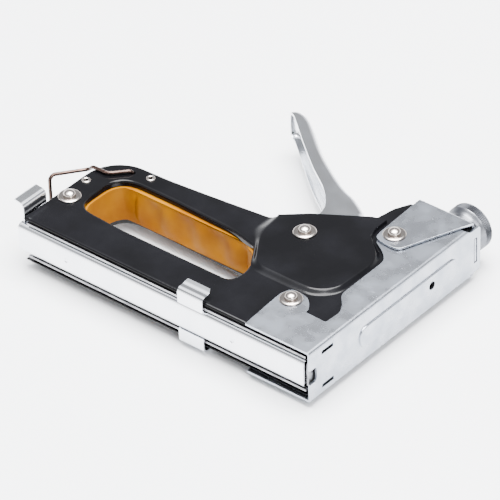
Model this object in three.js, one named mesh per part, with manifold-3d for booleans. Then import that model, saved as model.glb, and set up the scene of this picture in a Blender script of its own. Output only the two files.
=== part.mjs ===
// A hand staple gun lying on its left side.
//
// Gun axes, in millimetres: +X forward to the nose, +Y from the staple exit towards the lever, +Z to the right
// side, which faces up. The nose's front face is x = 0, the base that meets the work is y = 0 and the tool's
// middle plane is z = 0. The exported group moves the foot of the lever's pivot to the origin, so the flat left
// rivet heads stand on z = 0.
import * as THREE from "three";
import { mergeVertices } from "three/addons/utils/BufferGeometryUtils.js";
import Module from "manifold-3d";

const wasm = await Module();
wasm.setup();

// ---------------------------------------------------------------------------------------------------------
// Driving dimensions
// ---------------------------------------------------------------------------------------------------------
const SHEET = 1.1; // black body sheet
const PLATE = 1; // nose plate and hood sheet
const GAP = 0.3; // clearance between pieces
const HAIR = 0.1; // clearance between flat faces that are clamped together

const SHELL_OUT = 11.8; // outer face of a shell from the middle plane
const RAISE = 1.8; // height of the raised lever housing above that face
const NOSE_OUT = 13; // outer face of the nose plate's flanges
const HOOD_OUT = 14.3; // outer face of the hood's sides
const FLOOR = -16.3; // flat ends of the left rivet heads

const BASE = 1.2; // bottom edge of the shells, above the magazine cover
const REAR = -160.6; // rear edge of the shells
const SHELL_FRONT = -1.4;
const HANDLE_OPEN = -76.2; // in front of this the two shells have no turned-in top edge

const PIVOT = [-55, 64.8]; // lever pivot
const FRONT_RIVET = [-30, 24.8];
const HOOD_RIVET = [-22.7, 86];
const REAR_RIVET = [-154.6, 24.7];
const EYELETS = [[-156.8, 38.2], [-135.2, 56.4]];
const BAIL_PIVOT = [-144.4, 54.9];
const SHANK = 2.4; // rivet shank radius
const DOME = { radius: 2.9, height: 2.2 }; // the rivets' right heads
const WASHER = { radius: 5.2, thick: 0.8 };
const SPACER = 3.6; // outer radius of the tubes that keep the shells apart

const INSERT_HALF = 8.7; // half the height of the insert, which the shells' rolled hole edges reach down to
const WAVE = { pitch: 18.5, crest: -80.8, middle: 48.1, height: 1.2 }; // finger waves over the hand hole

const LEVER_HALF = 8.4;
const LEVER_SHEET = 1.3;
const ARM_LENGTH = 38; // lever pivot to the centre of its lifting end
const ARM_ANGLE = THREE.MathUtils.degToRad(-18);
const ARM_END = 3;

const SPRING_X = -12.4; // axis of the main spring, its screw and the knob
const HOOD_TOP = 114.2;
const PLUNGER = { back: -18.5, front: -3.2, bottom: 38, top: 60, half: 9 };
const SEAT = { bottom: 100, top: 104 };

const CHANNEL = { front: -3.3, back: -159, half: 9.2, top: 17.5 };
const LUG = 4.6; // half the width of the channel lugs that the two spacers pass through
const COVER = { front: -3.4, back: -163.3, half: 7.3, sheet: 0.8, wall: 8 };
const EARS = { back: -72, front: -58.2, out: 14.4, top: 6.6 };
const RAIL = { front: -3.6, back: -156, half: 4.6, bottom: 3, top: 12.8 };
const STAPLES = { front: -3.3, back: -47, half: 5.65, wire: 0.75, top: 13.9, foot: 2 };
const PUSHER = { front: -47.5, back: -60 };
const ROD = { y: 7, radius: 1.2, front: -16, back: -160.7 };

// ---------------------------------------------------------------------------------------------------------
// Shape helpers
// ---------------------------------------------------------------------------------------------------------
function solidOf(geometry) {
  const bare = geometry.clone();
  bare.deleteAttribute("normal");
  bare.deleteAttribute("uv");
  const merged = mergeVertices(bare, 1e-4);
  return new wasm.Manifold(
    new wasm.Mesh({
      numProp: 3,
      vertProperties: merged.attributes.position.array,
      triVerts: new Uint32Array(merged.index.array),
    }),
  );
}

function geometryOf(solid) {
  const mesh = solid.getMesh();
  const geometry = new THREE.BufferGeometry();
  geometry.setAttribute("position", new THREE.BufferAttribute(mesh.vertProperties, 3));
  geometry.setIndex(new THREE.BufferAttribute(mesh.triVerts, 1));
  geometry.computeVertexNormals();
  return geometry;
}

const join = (first, ...rest) => rest.reduce((sum, piece) => sum.add(piece), first);
const cut = (first, ...rest) => rest.reduce((left, piece) => left.subtract(piece), first);

// A closed outline through [x, y] points, or [x, y, radius] where a corner is rounded, up to nearly half of
// its shorter edge.
function outline(points) {
  const shape = new THREE.Shape();
  const at = (i) => new THREE.Vector2(...points[(i + points.length) % points.length].slice(0, 2));
  points.forEach(([, , radius = 0], i) => {
    const corner = at(i);
    const back = at(i - 1).sub(corner);
    const ahead = at(i + 1).sub(corner);
    const reach = Math.min(radius, 0.48 * back.length(), 0.48 * ahead.length());
    const start = corner.clone().add(back.setLength(reach));
    const end = corner.clone().add(ahead.setLength(reach));
    if (i === 0) shape.moveTo(start.x, start.y);
    else shape.lineTo(start.x, start.y);
    if (radius) shape.quadraticCurveTo(corner.x, corner.y, end.x, end.y);
  });
  shape.closePath();
  return shape;
}

function circle(x, y, radius) {
  const shape = new THREE.Shape();
  shape.absarc(x, y, radius, 0, 2 * Math.PI);
  return shape;
}

// A flat plate of that outline from z = low to z = high.
function plate(shape, low, high, segments = 4) {
  const geometry = new THREE.ExtrudeGeometry(shape, {
    depth: high - low,
    bevelEnabled: false,
    curveSegments: segments,
  });
  return solidOf(geometry.translate(0, 0, low));
}

// The same for an outline drawn in (z, y), from x = low to x = high.
function bar(shape, low, high, segments = 4) {
  const geometry = new THREE.ExtrudeGeometry(shape, {
    depth: high - low,
    bevelEnabled: false,
    curveSegments: segments,
  });
  return solidOf(geometry.rotateY(-Math.PI / 2).translate(high, 0, 0));
}

function box(x0, x1, y0, y1, z0, z1) {
  const geometry = new THREE.BoxGeometry(x1 - x0, y1 - y0, z1 - z0);
  return solidOf(geometry.translate((x0 + x1) / 2, (y0 + y1) / 2, (z0 + z1) / 2));
}

// A round piece about an axis parallel to Z: profile points are [radius, z].
function turnedZ(profile, x, y, segments = 20) {
  const points = profile.map(([radius, z]) => new THREE.Vector2(radius, z));
  const geometry = new THREE.LatheGeometry(points, segments).rotateX(Math.PI / 2);
  return solidOf(geometry.translate(x, y, 0));
}

// A round piece about the vertical axis of the main spring: profile points are [radius, y].
function turnedY(profile, segments = 28) {
  const points = profile.map(([radius, y]) => new THREE.Vector2(radius, y));
  return solidOf(new THREE.LatheGeometry(points, segments).translate(SPRING_X, 0, 0));
}

const pinZ = (x, y, radius, low, high, segments = 20) =>
  turnedZ([[0, low], [radius, low], [radius, high], [0, high]], x, y, segments);

const pinY = (radius, low, high, segments = 20) =>
  turnedY([[0, low], [radius, low], [radius, high], [0, high]], segments);

// Points moved to the inside of a counter-clockwise outline by a distance.
function inset(points, distance, closed = true) {
  const count = points.length;
  return points.map((point, i) => {
    const previous = points[closed ? (i + count - 1) % count : Math.max(i - 1, 0)];
    const next = points[closed ? (i + 1) % count : Math.min(i + 1, count - 1)];
    const along = (a, b) => new THREE.Vector2(b[0] - a[0], b[1] - a[1]).normalize();
    const into = previous === point ? along(point, next) : along(previous, point);
    const out = next === point ? into : along(point, next);
    const normal = new THREE.Vector2(-into.y - out.y, into.x + out.x).normalize();
    const reach = distance / Math.max(normal.dot(new THREE.Vector2(-into.y, into.x)), 0.4);
    return [point[0] + normal.x * reach, point[1] + normal.y * reach];
  });
}

// A solid with one flat ring at z = low, another with as many points at z = high, and straight sides.
function loft(lower, upper, low, high) {
  const count = lower.length;
  const vertices = [...lower.map(([x, y]) => [x, y, low]), ...upper.map(([x, y]) => [x, y, high])];
  const triangles = [];
  const cap = (ring) => THREE.ShapeUtils.triangulateShape(ring.map((p) => new THREE.Vector2(...p)), []);
  cap(lower).forEach(([a, b, c]) => triangles.push(a, c, b));
  cap(upper).forEach(([a, b, c]) => triangles.push(count + a, count + b, count + c));
  for (let i = 0; i < count; i++) {
    const next = (i + 1) % count;
    triangles.push(i, next, count + next, i, count + next, count + i);
  }
  const geometry = new THREE.BufferGeometry();
  geometry.setAttribute("position", new THREE.Float32BufferAttribute(vertices.flat(), 3));
  return solidOf(geometry.setIndex(triangles));
}

// A round wire through straight stretches with ball corners.
function wire(points, radius) {
  const route = points.map((p) => new THREE.Vector3(...p));
  const pieces = route.slice(1).map((end, i) => {
    const start = route[i];
    const geometry = new THREE.CylinderGeometry(radius, radius, start.distanceTo(end), 8);
    const turn = new THREE.Quaternion().setFromUnitVectors(
      new THREE.Vector3(0, 1, 0),
      end.clone().sub(start).normalize(),
    );
    const middle = start.clone().add(end).multiplyScalar(0.5);
    return solidOf(geometry.applyQuaternion(turn).translate(middle.x, middle.y, middle.z));
  });
  const corners = route.slice(1, -1).map((p) =>
    solidOf(new THREE.SphereGeometry(1.04 * radius, 10, 7).translate(p.x, p.y, p.z)));
  return join(...pieces, ...corners);
}

// A coil spring along X or Y, as one swept wire.
class Coil extends THREE.Curve {
  constructor(start, end, radius, turns) {
    super();
    Object.assign(this, { start, end, radius, turns });
  }

  getPoint(t, target = new THREE.Vector3()) {
    const angle = 2 * Math.PI * this.turns * t;
    return target.set(
      this.radius * Math.cos(angle),
      THREE.MathUtils.lerp(this.start, this.end, t),
      this.radius * Math.sin(angle),
    );
  }
}

function coil(start, end, radius, turns, wireRadius, stepsPerTurn, sides) {
  return new THREE.ExtrudeGeometry(circle(0, 0, wireRadius), {
    extrudePath: new Coil(start, end, radius, turns),
    steps: Math.round(turns * stepsPerTurn),
    curveSegments: sides,
    bevelEnabled: false,
  });
}

const mirrored = (solid) => solid.mirror([0, 0, 1]);

// ---------------------------------------------------------------------------------------------------------
// Body shells, insert and nose
// ---------------------------------------------------------------------------------------------------------
const HAND_HOLE = [
  [-58.9, 29.5, 2.5], [-61.2, 37, 3], [-67.2, 45.8, 3], [-81.8, 49.2, 6], [-116.8, 50.4, 6], [-147.6, 50.2, 12],
  [-147.6, 22, 9], [-121.5, 20.4, 6], [-60, 20.8, 5.5],
];

function shellOutline() {
  const corner = new THREE.Path().absarc(REAR + 18.2, 42.4, 18.2, Math.PI / 2, Math.PI);
  return [
    [REAR, BASE], [SHELL_FRONT, BASE], [SHELL_FRONT, 111.6], [-32.6, 111.6], [-36.6, 103.4], [-38.8, 91.4],
    [-61.8, 76.8], [-72.8, 67.5], [-75.8, 65.7], [-128, 61.2],
    ...corner.getPoints(7).map((p) => [p.x, p.y]),
  ];
}

// The raised housing's foot and its flat top: matching points, counter-clockwise.
const HOUSING_FOOT = [
  [-56.9, 31.6], [-35, 31.5], [-24.8, 32.8], [-16.8, 40.4], [-16.6, 66], [-19, 72], [-29, 78.8], [-32.2, 84.5],
  [-32.2, 93.2], [-38.8, 91.4], [-61.8, 76.8], [-72.8, 67.5], [-76, 64.8], [-76.2, 53.5], [-68.5, 48],
];
const HOUSING_TOP = [
  [-57.3, 35.1], [-34.7, 35.2], [-26, 35.9], [-19.6, 42], [-18.4, 64], [-21.8, 71], [-31.2, 80], [-32.6, 85.5],
  [-32.6, 93], [-38.8, 91.4], [-61.8, 76.8], [-72.2, 68], [-71.8, 66], [-70, 55.4], [-65.8, 46.6],
];

function rightShell() {
  const edge = shellOutline();
  const inner = SHELL_OUT - SHEET;
  const full = plate(outline(edge), GAP / 2, SHELL_OUT);
  const hollow = plate(outline(inset(edge, SHEET)), -1, inner);
  const openings = join(
    box(REAR - 5, 5, BASE - 5, 20, -1, inner),
    box(HANDLE_OPEN, 5, 19, 120, -1, inner),
  );
  const raised = loft(HOUSING_FOOT, HOUSING_TOP, SHELL_OUT - 0.01, SHELL_OUT + RAISE);
  const shrink = (ring) => ring.map(([x, y]) => [(x + 47) * 0.97 - 47, (y - 62) * 0.97 + 62]);
  const dish = loft(shrink(HOUSING_FOOT), shrink(HOUSING_TOP), inner - 0.1, inner + RAISE);
  const holes = [PIVOT, FRONT_RIVET, HOOD_RIVET, REAR_RIVET].map(([x, y]) => pinZ(x, y, SHANK + GAP, -1, 15));
  holes.push(...EYELETS.map(([x, y]) => pinZ(x, y, 1.4 + GAP, -1, 15, 12)));
  holes.push(pinZ(...BAIL_PIVOT, 1.3, -1, 15, 12));
  const smooth = outline(HAND_HOLE).getPoints(4).slice(0, -1).map((p) => [p.x, p.y]);
  const rolled = plate(outline(inset(smooth, -SHEET)), INSERT_HALF + GAP, SHELL_OUT);
  const sheet = join(cut(full.add(raised), hollow, openings, dish), rolled);
  return cut(sheet, plate(outline(smooth), -1, 15), ...holes);
}

function fingerInsert() {
  const flange = 2;
  const rim = 0.9;
  const smooth = outline(HAND_HOLE).getPoints(4).slice(0, -1).map((p) => [p.x, p.y]);
  const inside = inset(smooth, rim);
  const waves = [];
  for (let x = -74; x > -140; x -= 3.1) {
    waves.push([x, WAVE.middle - WAVE.height * Math.cos(((x - WAVE.crest) / WAVE.pitch) * 2 * Math.PI)]);
  }
  const hollow = [
    ...inside.filter(([x, y]) => y < 42 || x > -71.5 || x < -140.5),
    ...waves,
  ].sort((a, b) => Math.atan2(a[1] - 35, a[0] + 104) - Math.atan2(b[1] - 35, b[0] + 104));
  return cut(
    plate(outline(inset(smooth, -flange)), -INSERT_HALF, INSERT_HALF),
    plate(outline(hollow), -INSERT_HALF - 1, INSERT_HALF + 1),
  );
}

function nosePlate() {
  const front = -PLATE;
  const face = outline([
    [-NOSE_OUT, 0], [NOSE_OUT, 0], [NOSE_OUT, 107.5], [11.2, 110.2], [11.2, 117, 1.2], [-11.2, 117, 1.2],
    [-11.2, 110.2], [-NOSE_OUT, 107.5],
  ]);
  const slots = [-8.7, 8.7].map((z) => box(-5, 5, 8, 15.6, z - 0.9, z + 0.9));
  slots.push(box(-5, 5, 112.5, 114.7, -6.5, 6.5));
  const side = outline([
    [-34.4, 0, 1.5], [0, 0], [0, 108.5], [-2, 109.4], [-12, 98], [-17, 92.2, 3], [-27.5, 91.5, 5],
    [-28, 79, 3], [-21.5, 75.6, 2], [-15.6, 70.5, 4], [-15.3, 40, 2], [-9.8, 34.1, 2], [-7.9, 29.7],
    [-8.4, 21.2], [-19.5, 21.4], [-19.3, 23.3], [-22.5, 27.8], [-26, 30.2, 2], [-35.5, 31, 4], [-36.2, 25.5, 2],
  ]);
  const flange = plate(side, NOSE_OUT - PLATE, NOSE_OUT);
  const holes = [FRONT_RIVET, HOOD_RIVET].map(([x, y]) => pinZ(x, y, SHANK + GAP, -15, 15));
  const rib = outline([[-5.2, 33, 3], [5.2, 33, 3], [5.2, 100, 3], [-5.2, 100, 3]]);
  const notch = box(-5, 5, -1, 4.6, -3.6, 3.6);
  return cut(join(bar(face, front, 0), bar(rib, -0.2, 0.7), flange, mirrored(flange)),
    bar(circle(0, 82, 2), -2, 2), notch, ...slots, ...holes);
}

function hood() {
  const side = outline([
    [-15, 78.6, 1.5], [-1.3, 112], [-1.3, HOOD_TOP], [-30.4, HOOD_TOP, 1], [-28.9, 84], [-28.4, 79.2, 4],
  ]);
  const cheek = plate(side, HOOD_OUT - PLATE, HOOD_OUT);
  const top = box(-30.4, -1.3, HOOD_TOP - 1.2, HOOD_TOP, -HOOD_OUT, HOOD_OUT);
  const tongue = box(-1.4, -0.1, HOOD_TOP - 1.2, HOOD_TOP, -6, 6);
  return cut(join(cheek, mirrored(cheek), top, tongue),
    pinZ(...HOOD_RIVET, SHANK + GAP, -15, 15), pinY(3.3, 110, 116));
}

// ---------------------------------------------------------------------------------------------------------
// Fasteners
// ---------------------------------------------------------------------------------------------------------
function rivet([x, y], surface) {
  const start = surface + HAIR + WASHER.thick + HAIR;
  return turnedZ([
    [0, FLOOR], [2.6, FLOOR], [3, FLOOR + 0.4], [3, -start], [SHANK, -start], [SHANK, start],
    [DOME.radius, start], [0.97 * DOME.radius, start + 0.45 * DOME.height],
    [0.7 * DOME.radius, start + 0.86 * DOME.height], [0.3 * DOME.radius, start + DOME.height],
    [0, start + DOME.height],
  ], x, y, 16);
}

function washer([x, y], surface) {
  const bore = SHANK + 2 * HAIR;
  const low = surface + HAIR;
  const high = low + WASHER.thick;
  return turnedZ([
    [bore, low], [WASHER.radius, low], [WASHER.radius - 0.2, high], [bore, high], [bore, low],
  ], x, y, 20);
}

function eyelet([x, y]) {
  const seat = SHELL_OUT + HAIR;
  return turnedZ([
    [0.8, -seat - 0.5], [2.1, -seat - 0.5], [2.1, -seat], [1.4, -seat], [1.4, seat], [2.1, seat],
    [2.1, seat + 0.5], [0.8, seat + 0.5], [0.8, -seat - 0.5],
  ], x, y, 14);
}

function spacerTube([x, y], half, outer) {
  const bore = SHANK + GAP;
  return turnedZ([[bore, -half], [outer, -half], [outer, half], [bore, half], [bore, -half]], x, y);
}

function leverSpacer() {
  const low = LEVER_HALF + GAP;
  const high = SHELL_OUT + RAISE - SHEET - GAP;
  return turnedZ([[SHANK + GAP, low], [5, low], [5, high], [SHANK + GAP, high], [SHANK + GAP, low]], ...PIVOT);
}

// ---------------------------------------------------------------------------------------------------------
// Lever, plunger and drive
// ---------------------------------------------------------------------------------------------------------
const LEVER_BACK = [ // outer edge of the lever from the housing to the tip
  [-46, 90], [-48.2, 97.5], [-57.6, 103.8], [-64.7, 106.6], [-73.1, 110.9], [-91, 122.5], [-106.9, 135.4],
  [-113.8, 140.5], [-118.6, 142.4], [-122.5, 142.1], [-124.9, 139.8],
];
const LEVER_FRONT = [ // the hand's side, from the tip to the housing
  [-120, 137.1], [-114.6, 132.7], [-102.4, 122.4], [-87, 110.2], [-74.5, 101.4], [-66.1, 92.8], [-63.2, 86],
  [-61.8, 76], [-61.5, 66],
];

function lever() {
  const tip = [PIVOT[0] + ARM_LENGTH * Math.cos(ARM_ANGLE), PIVOT[1] + ARM_LENGTH * Math.sin(ARM_ANGLE)];
  const cheek = outline([
    ...LEVER_BACK, ...LEVER_FRONT, [-59, 59.5, 3], [-52, 57.8, 2], [tip[0] - 6, tip[1] - 2.6], tip,
    [tip[0] - 6, tip[1] + 4], [-41, 68.5, 4], [-44, 80],
  ]);
  const inside = [
    ...inset(LEVER_BACK, LEVER_SHEET, false), [-135, 130], [-75, 40], [0, 40], [0, 70], [-40, 90],
  ];
  const channel = LEVER_HALF - LEVER_SHEET;
  return cut(
    join(plate(cheek, -LEVER_HALF, LEVER_HALF), pinZ(...tip, ARM_END, -LEVER_HALF, LEVER_HALF)),
    plate(outline(inside), -channel, channel),
    pinZ(...PIVOT, SHANK + GAP, -20, 20),
  );
}

function plunger() {
  const { back, front, bottom, top, half } = PLUNGER;
  const lift = PIVOT[1] + ARM_LENGTH * Math.sin(ARM_ANGLE);
  const mouth = ARM_END + 0.7;
  return cut(
    join(
      box(back, front, bottom, top, -half, half),
      box(front - 0.2, -1.5, 42, 46, -2.5, 2.5),
    ),
    box(back - 1, -13.2, lift - mouth, lift + mouth, -half - 1, half + 1),
  );
}

function strikerBlade() {
  return cut(box(-2.9, -1.8, 1.4, 56, -5.6, 5.6), box(-4, 0, 41.7, 46.3, -2.8, 2.8));
}

function springSeat() {
  return cut(box(-20.1, -4.6, SEAT.bottom, SEAT.top, -8.4, 8.4), pinY(2.9 + GAP, 90, 110));
}

function adjustingScrew() {
  return turnedY([
    [0, 92], [2.5, 92], [2.9, 92.6], [2.9, 110.8], [5, 110.8], [5, 112.6], [2.9, 112.6], [2.9, 126], [0, 126],
  ], 20);
}

function knob() {
  return turnedY([
    [3.2, 114.5], [6, 114.5], [8.8, 116.2], [9.3, 121.2], [10.4, 122.8], [11, 123.2], [11, 127.5],
    [10.5, 127.9], [3.2, 127.9], [3.2, 114.5],
  ], 40);
}

const mainSpring = () =>
  coil(PLUNGER.top + 1.3, SEAT.bottom - 1.3, 6.1, 7, 0.95, 14, 2).translate(SPRING_X, 0, 0);

// ---------------------------------------------------------------------------------------------------------
// Magazine
// ---------------------------------------------------------------------------------------------------------
function magazineChannel() {
  const { front, back, half, top } = CHANNEL;
  const walls = cut(box(back, front, BASE, top, -half, half), box(back - 1, front + 1, BASE - 1, top - 1,
    1 - half, half - 1));
  const lug = ([x, y]) => cut(box(x - LUG, x + LUG, top - 1, y + LUG, -half, half),
    box(x - LUG - 1, x + LUG + 1, top - 0.5, y + LUG + 1, 1 - half, half - 1));
  const bores = [FRONT_RIVET, REAR_RIVET].map(([x, y]) => pinZ(x, y, SPACER + GAP, -20, 20));
  return cut(join(walls, lug(FRONT_RIVET), lug(REAR_RIVET)), ...bores);
}

function magazineCover() {
  const { front, back, half, sheet, wall } = COVER;
  const trough = cut(box(back, front, 0, wall, -half, half),
    box(back - 1, front + 1, sheet, wall + 1, sheet - half, half - sheet));
  const end = box(back, back + 1, 0, 13.5, -half, half);
  const ear = bar(outline([
    [half - 0.5, 0], [EARS.out, 0, 0.8], [EARS.out + 0.3, EARS.top - 1.5], [16, EARS.top], [15.2, EARS.top + 0.5],
    [EARS.out - 0.9, EARS.top - 1.4], [EARS.out - 0.9, sheet], [half - 0.5, sheet],
  ]), EARS.back, EARS.front);
  return join(trough, end, ear, mirrored(ear));
}

function rearPullTab() {
  const { half, sheet, wall } = COVER;
  const web = box(-161.8, -161, 2, 16.6, -6, 17.2);
  const flange = plate(outline([[-168, 3], [-161, 2], [-161, 16.6], [-167, 17.4]]), 16.4, 17.2);
  const slot = box(-163, -160, 0, wall + GAP, half - sheet - GAP, half + GAP);
  return cut(join(web, flange), slot);
}

function stapleRail() {
  const { front, back, half, bottom, top } = RAIL;
  return cut(box(back, front, bottom, top, -half, half), box(back - 1, front + 1, bottom - 1, top - 1,
    1 - half, half - 1));
}

function stapleStrip() {
  const { front, back, half, wire: thick, top, foot } = STAPLES;
  return cut(box(back, front, foot, top, -half, half), box(back - 1, front + 1, foot - 1, top - thick,
    thick - half, half - thick));
}

function pusher() {
  const { half, bottom, top } = RAIL;
  const around = outline([[-5.9, 1.4], [5.9, 1.4], [5.9, 14], [-5.9, 14]]);
  const slot = new THREE.Shape([
    [-half - GAP, bottom - GAP], [GAP + 1 - half, bottom - GAP], [GAP + 1 - half, top - 1 - GAP],
    [half - 1 - GAP, top - 1 - GAP], [half - 1 - GAP, bottom - GAP], [half + GAP, bottom - GAP],
    [half + GAP, top + GAP], [-half - GAP, top + GAP],
  ].map((p) => new THREE.Vector2(...p)));
  const { back, front } = PUSHER;
  return cut(bar(around, back, front), bar(slot, back - 1, front + 1),
    bar(circle(0, ROD.y, ROD.radius + GAP), back - 1, front + 1, 3));
}

const pusherRod = () => bar(circle(0, ROD.y, ROD.radius), ROD.back, ROD.front, 3);

const pusherSpring = () =>
  coil(0, PUSHER.back - ROD.back - 1.4, 2.1, 15, 0.4, 9, 2)
    .rotateZ(-Math.PI / 2)
    .translate(ROD.back + 0.7, ROD.y, 0);

// ---------------------------------------------------------------------------------------------------------
// Lock bail
// ---------------------------------------------------------------------------------------------------------
function lockBail() {
  const side = [
    [...BAIL_PIVOT, 9], [...BAIL_PIVOT, 12.9], [-151.8, 46.8, 12.9], [-160.6, 46.7, 12.9], [-163.6, 48.2, 9.4],
    [-174.2, 35.4, 9], [-174.4, 33.4, 7.6],
  ];
  const other = side.map(([x, y, z]) => [x, y, -z]).reverse();
  return wire([...side, ...other], 0.85);
}

// ---------------------------------------------------------------------------------------------------------
// Materials and assembly
// ---------------------------------------------------------------------------------------------------------
const finish = (color, roughness, metalness) => new THREE.MeshStandardMaterial({ color, roughness, metalness });
const BLACK = finish(0x0b0b0e, 0.3, 0.1);
const CHROME = finish(0xd7dae0, 0.12, 1);
const ZINC = finish(0xb4b9c4, 0.3, 1);
const NICKEL = finish(0xcdbfb4, 0.2, 1);
const STEEL = finish(0x8d8f94, 0.4, 1);
const SPRING_STEEL = finish(0x3b302c, 0.35, 1);
const YELLOW = finish(0xe8a010, 0.45, 0);

const RIVETS = {
  pivot: [PIVOT, SHELL_OUT + RAISE],
  front: [FRONT_RIVET, NOSE_OUT],
  hood: [HOOD_RIVET, HOOD_OUT],
  rear: [REAR_RIVET, SHELL_OUT],
};

const gun = new THREE.Group();

function add(name, shape, material) {
  const mesh = new THREE.Mesh(shape instanceof THREE.BufferGeometry ? shape : geometryOf(shape), material);
  mesh.name = name;
  gun.add(mesh);
}

add("right_shell", rightShell(), BLACK);
add("left_shell", mirrored(rightShell()), BLACK);
add("finger_insert", fingerInsert(), YELLOW);
add("nose_plate", nosePlate(), ZINC);
add("hood", hood(), ZINC);
add("lever", lever(), CHROME);
add("lever_spacer_right", leverSpacer(), STEEL);
add("lever_spacer_left", mirrored(leverSpacer()), STEEL);
add("lever_bush", spacerTube(PIVOT, LEVER_HALF - LEVER_SHEET - GAP, 4.4), STEEL);
add("plunger", plunger(), STEEL);
add("striker_blade", strikerBlade(), STEEL);
add("main_spring", mainSpring(), SPRING_STEEL);
add("spring_seat", springSeat(), STEEL);
add("adjusting_screw", adjustingScrew(), STEEL);
add("knob", knob(), CHROME);
add("magazine_channel", magazineChannel(), STEEL);
add("staple_rail", stapleRail(), STEEL);
add("staple_strip", stapleStrip(), CHROME);
add("magazine_cover", magazineCover(), CHROME);
add("rear_pull_tab", rearPullTab(), CHROME);
add("pusher", pusher(), STEEL);
add("pusher_rod", pusherRod(), STEEL);
add("pusher_spring", pusherSpring(), SPRING_STEEL);
add("front_spacer", spacerTube(FRONT_RIVET, SHELL_OUT - SHEET - GAP, SPACER), STEEL);
add("rear_spacer", spacerTube(REAR_RIVET, SHELL_OUT - SHEET - GAP, SPACER), STEEL);
add("lock_bail", lockBail(), SPRING_STEEL);
EYELETS.forEach((place, i) => add(`eyelet_${i + 1}`, eyelet(place), NICKEL));
for (const [name, [place, surface]] of Object.entries(RIVETS)) {
  add(`${name}_rivet`, rivet(place, surface), NICKEL);
  add(`${name}_washer_right`, washer(place, surface), NICKEL);
  add(`${name}_washer_left`, mirrored(washer(place, surface)), NICKEL);
}

gun.position.set(-PIVOT[0], -PIVOT[1], -FLOOR);

export default gun;
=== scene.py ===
"""Looks of a hand staple gun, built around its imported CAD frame.

Sizes are millimetres in the gun's own axes: +X forward to the nose, whose front face is x = 0, +Y from the
base that meets the work towards the lever, and +Z out of the right side, with z = 0 on the middle plane. The
gun lies on its left side, so +Z is up. The function at() turns such a place into the frame's metres.
"""

import logging
import math
from dataclasses import dataclass, field
from enum import Enum
from typing import Callable, Iterable, Sequence

import bmesh
import bpy
from mathutils import Matrix, Vector


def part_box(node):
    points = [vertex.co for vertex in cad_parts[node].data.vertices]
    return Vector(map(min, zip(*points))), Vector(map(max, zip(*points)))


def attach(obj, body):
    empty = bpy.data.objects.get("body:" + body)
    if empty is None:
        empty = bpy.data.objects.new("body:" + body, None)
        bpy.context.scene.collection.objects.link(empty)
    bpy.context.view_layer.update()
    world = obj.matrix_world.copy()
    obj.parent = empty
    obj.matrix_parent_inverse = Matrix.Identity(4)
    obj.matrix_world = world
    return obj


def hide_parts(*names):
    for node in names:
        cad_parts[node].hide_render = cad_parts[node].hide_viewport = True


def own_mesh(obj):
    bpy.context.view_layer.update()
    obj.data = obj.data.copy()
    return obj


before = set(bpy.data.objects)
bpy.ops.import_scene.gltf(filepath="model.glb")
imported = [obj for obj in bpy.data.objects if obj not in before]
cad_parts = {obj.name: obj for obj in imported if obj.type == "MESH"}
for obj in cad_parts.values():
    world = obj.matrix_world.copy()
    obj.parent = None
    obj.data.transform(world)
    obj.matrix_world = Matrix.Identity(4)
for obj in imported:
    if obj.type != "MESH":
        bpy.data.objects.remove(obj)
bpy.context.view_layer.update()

LOG = logging.getLogger("staple_gun")
MM = 0.001
Point = tuple[float, float]
Corner = tuple[float, ...]

RIB_HEIGHT = 0.7
NOSE_LOW, NOSE_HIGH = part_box("nose_plate")
DATUM = Vector((NOSE_HIGH.x - RIB_HEIGHT * MM, NOSE_LOW.y, (NOSE_LOW.z + NOSE_HIGH.z) / 2))

SHEET = 1.1
SHELL_OUT = 11.8
HOUSING_OUT = 13.6
NOSE_OUT = 13.0
HOOD_OUT = 14.3
SPRING_X = -12.4


class Axis(Enum):
    """The gun axis that a blank is extruded along or a turned piece spins about."""

    X = 0
    Y = 1
    Z = 2


class Join(Enum):
    """What is done with a piece and the tool that meets it."""

    CUT = "DIFFERENCE"
    FUSE = "UNION"
    TRIM = "INTERSECT"


# ----------------------------------------------------------------------------------------------------------
# Places and outlines
# ----------------------------------------------------------------------------------------------------------
def at(x: float, y: float, z: float) -> Vector:
    """Turns a place on the gun, in millimetres, into the frame's metres."""
    return DATUM + Vector((x, y, z)) * MM


def rounded(corners: Sequence[Corner], steps: int = 5, closed: bool = True) -> list[Point]:
    """Rounds the corners of an outline.

    Args:
        corners: (x, y) for a sharp corner, or (x, y, radius) for a round one.
        steps: points along each round corner, less one.
        closed: whether the last corner joins the first.

    Returns:
        The outline's points, in the order of the corners.
    """
    points: list[Point] = []
    ends = () if closed else (0, len(corners) - 1)
    for index, corner in enumerate(corners):
        here = Vector(corner[:2])
        back = Vector(corners[index - 1][:2]) - here
        ahead = Vector(corners[(index + 1) % len(corners)][:2]) - here
        radius = corner[2] if len(corner) > 2 and index not in ends else 0.0
        reach = min(radius, 0.48 * back.length, 0.48 * ahead.length)
        if reach <= 0:
            points.append((here.x, here.y))
            continue
        start, end = here + back.normalized() * reach, here + ahead.normalized() * reach
        for step in range(steps + 1):
            t = step / steps
            spot = start * (1 - t) ** 2 + here * (2 * t * (1 - t)) + end * t * t
            points.append((spot.x, spot.y))
    return points


def through(points: Sequence[Point], steps: int = 4) -> list[Point]:
    """Draws a smooth open line through points, as a Catmull-Rom curve.

    Args:
        points: the places that the line passes.
        steps: points made for each stretch.

    Returns:
        The line's points, both ends included.
    """
    ends = [points[0], *points, points[-1]]
    line: list[Point] = []
    for i in range(1, len(ends) - 2):
        a, b, c, d = (Vector(p) for p in ends[i - 1 : i + 3])
        for step in range(steps):
            t = step / steps
            square, cube = 2 * a - 5 * b + 4 * c - d, 3 * b - a - 3 * c + d
            spot = 0.5 * (2 * b + (c - a) * t + square * t**2 + cube * t**3)
            line.append((spot.x, spot.y))
    return [*line, tuple(points[-1])]


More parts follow.
